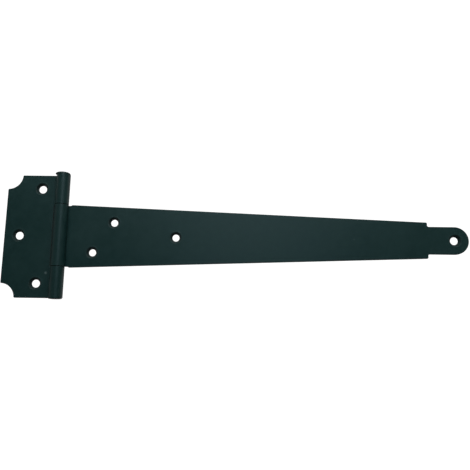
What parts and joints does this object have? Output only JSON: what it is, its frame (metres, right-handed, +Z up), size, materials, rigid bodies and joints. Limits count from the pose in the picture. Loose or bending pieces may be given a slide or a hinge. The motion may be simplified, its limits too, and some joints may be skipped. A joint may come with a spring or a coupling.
{
  "type": "t hinge",
  "caption": "T hinge with a scalloped jamb leaf and a long tapered strap ending in a round tongue, joined by a rolled barrel on a peened pin.",
  "frame": {"origin": "on the mounting plane, straight behind the pin axis, at mid height of the barrel", "axes": "+X along the strap to its tip, +Z up along the pin, +Y into the surface the hinge is screwed to; the barrel stands out toward -Y"},
  "size_m": [0.3421, 0.01, 0.0945],
  "materials": {
    "plate_coat": "semi-gloss green-black coat",
    "pin_coat": "semi-gloss green-black coat"
  },
  "bodies": {
    "leaf_and_pin": {"jamb_leaf": "plate_coat", "hinge_pin": "pin_coat"},
    "strap_arm": {"strap": "plate_coat"}
  },
  "joints": [
    {"name": "strap_swing", "type": "hinge", "parent": "leaf_and_pin", "child": "strap_arm", "pos_m": [0, -0.005, 0], "axis": [0, 0, -1], "range_deg": [-105, 185]}
  ]
}
